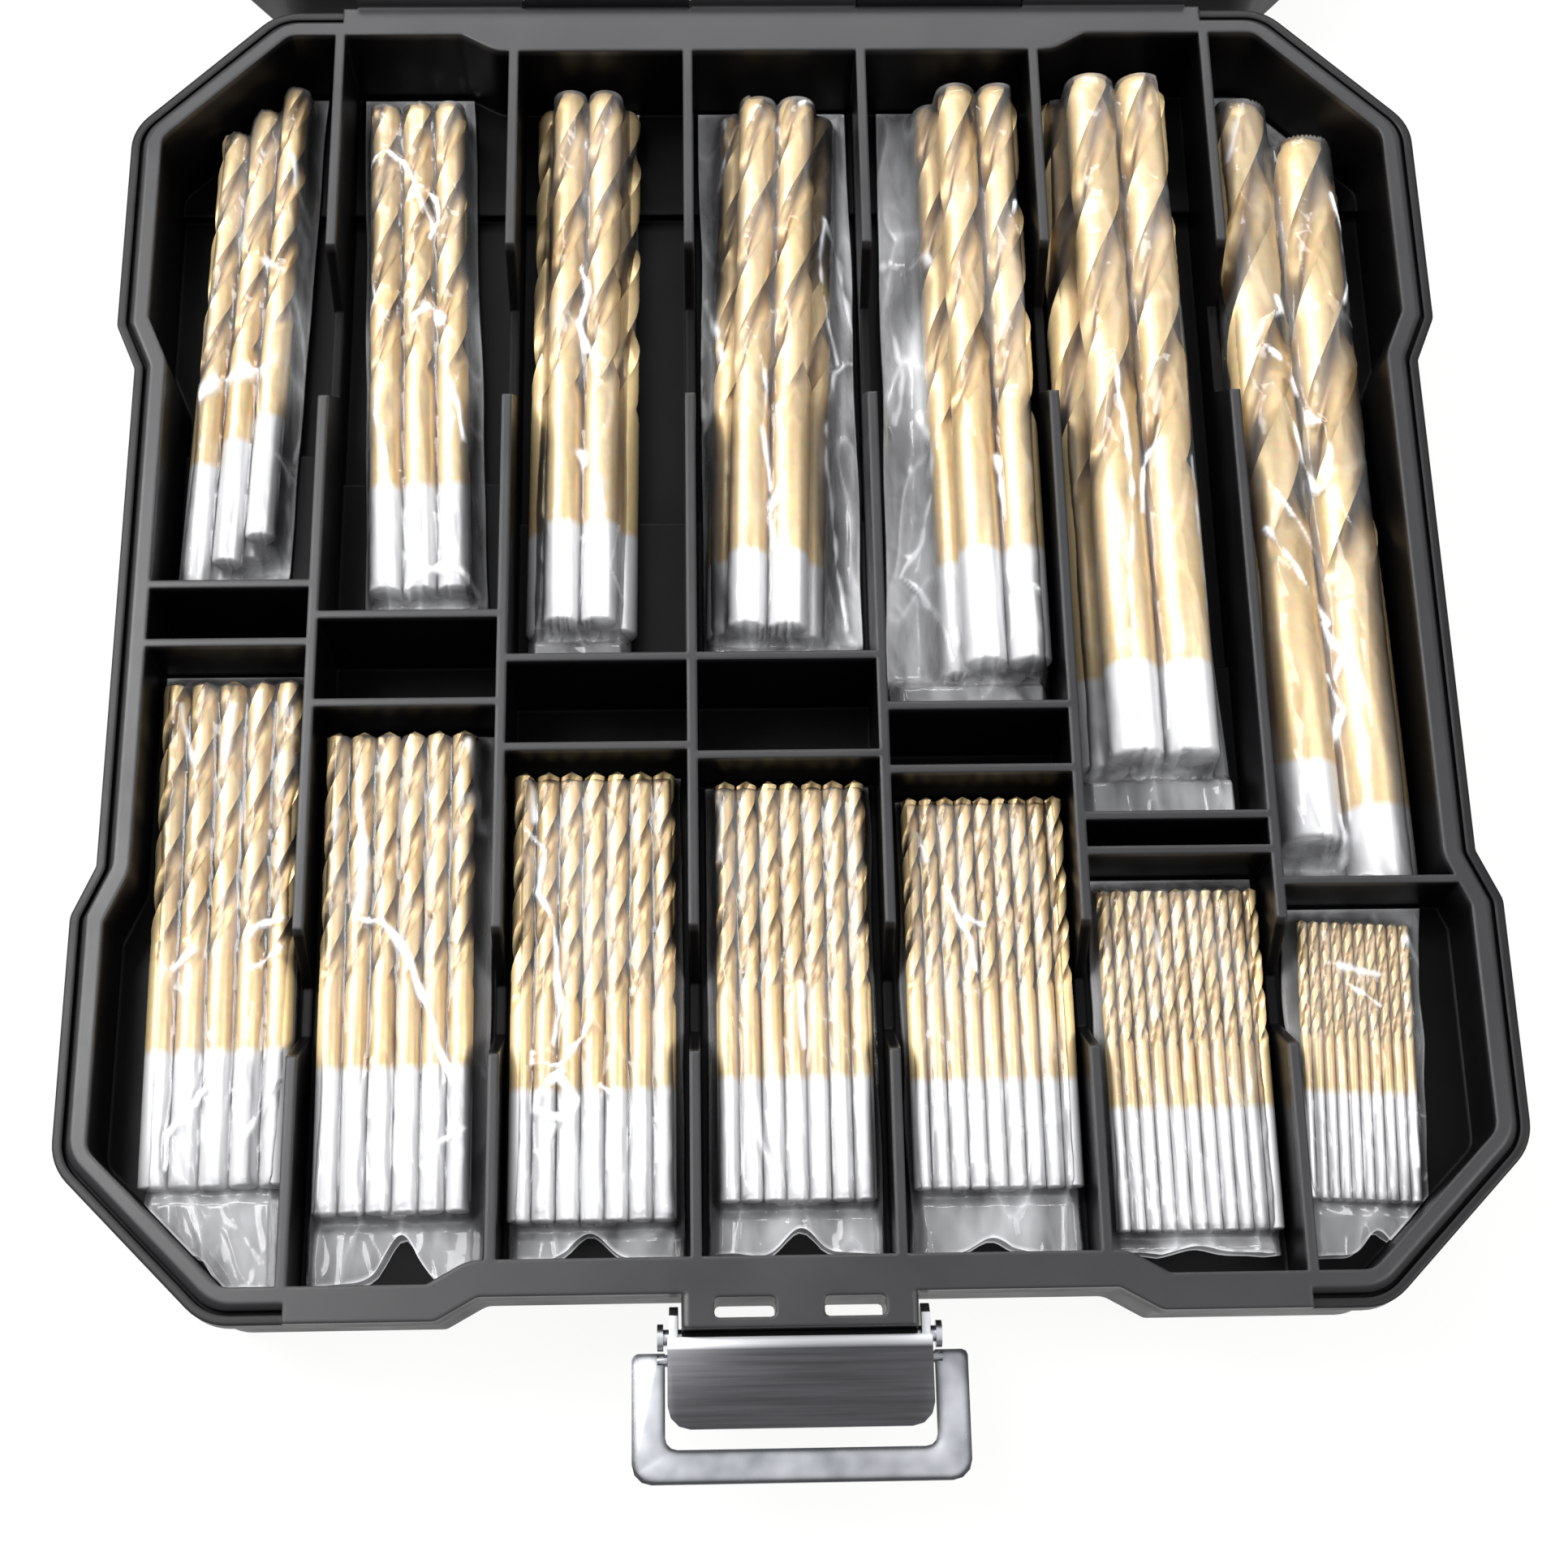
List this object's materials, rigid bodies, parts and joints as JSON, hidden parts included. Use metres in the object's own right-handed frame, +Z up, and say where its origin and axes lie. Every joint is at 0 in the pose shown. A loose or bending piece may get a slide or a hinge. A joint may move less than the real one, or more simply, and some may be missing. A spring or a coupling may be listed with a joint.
{
  "type": "drill bit case",
  "caption": "Shallow black case with a hinged lid, a steel draw latch, and two rows of pockets that hold twist drills in clear bags, small sizes in front and large ones behind.",
  "frame": {"origin": "middle of the tray's underside, on the surface it stands on", "axes": "+X to the right along the hinge, +Y from the latch to the hinge and the open lid, +Z up"},
  "size_m": [0.2, 0.4412, 0.0242],
  "materials": {
    "black_plastic": "satin moulded polypropylene",
    "steel": "drawn wire, bright",
    "dark_steel": "dark nickel plate, brushed",
    "bright_steel": "bright zinc plate",
    "coated_steel": "gold nitride coating, ground shank",
    "clear_film": "clear soft film"
  },
  "bodies": {
    "base": {"base_tray": "black_plastic", "hinge_pin": "steel", "latch_pin": "steel", "bits_4_5": "coated_steel", "bits_5_0": "coated_steel", "bits_5_5": "coated_steel", "bits_6_0": "coated_steel", "bits_6_5": "coated_steel", "bits_8_0": "coated_steel", "bits_10_0": "coated_steel", "bits_4_0": "coated_steel", "bits_3_5": "coated_steel", "bits_3_2": "coated_steel", "bits_3_0": "coated_steel", "bits_2_5": "coated_steel", "bits_2_0": "coated_steel", "bits_1_5": "coated_steel", "bag_4_5": "clear_film", "bag_5_0": "clear_film", "bag_5_5": "clear_film", "bag_6_0": "clear_film", "bag_6_5": "clear_film", "bag_8_0": "clear_film", "bag_10_0": "clear_film", "bag_4_0": "clear_film", "bag_3_5": "clear_film", "bag_3_2": "clear_film", "bag_3_0": "clear_film", "bag_2_5": "clear_film", "bag_2_0": "clear_film", "bag_1_5": "clear_film"},
    "lid_body": {"lid": "black_plastic"},
    "lever_body": {"latch_lever": "dark_steel"},
    "loop_body": {"latch_loop": "bright_steel"}
  },
  "joints": [
    {"name": "lid_hinge", "type": "hinge", "parent": "base", "child": "lid_body", "pos_m": [0, 0.1057, 0.0216], "axis": [1, 0, 0], "range_deg": [0, 180]},
    {"name": "lever_hinge", "type": "hinge", "parent": "base", "child": "lever_body", "pos_m": [0, -0.1046, 0.015], "axis": [1, 0, 0], "range_deg": [-8, 85]},
    {"name": "loop_hinge", "type": "hinge", "parent": "lever_body", "child": "loop_body", "pos_m": [0, -0.1076, 0.015], "axis": [1, 0, 0], "range_deg": [-110, 20]}
  ]
}
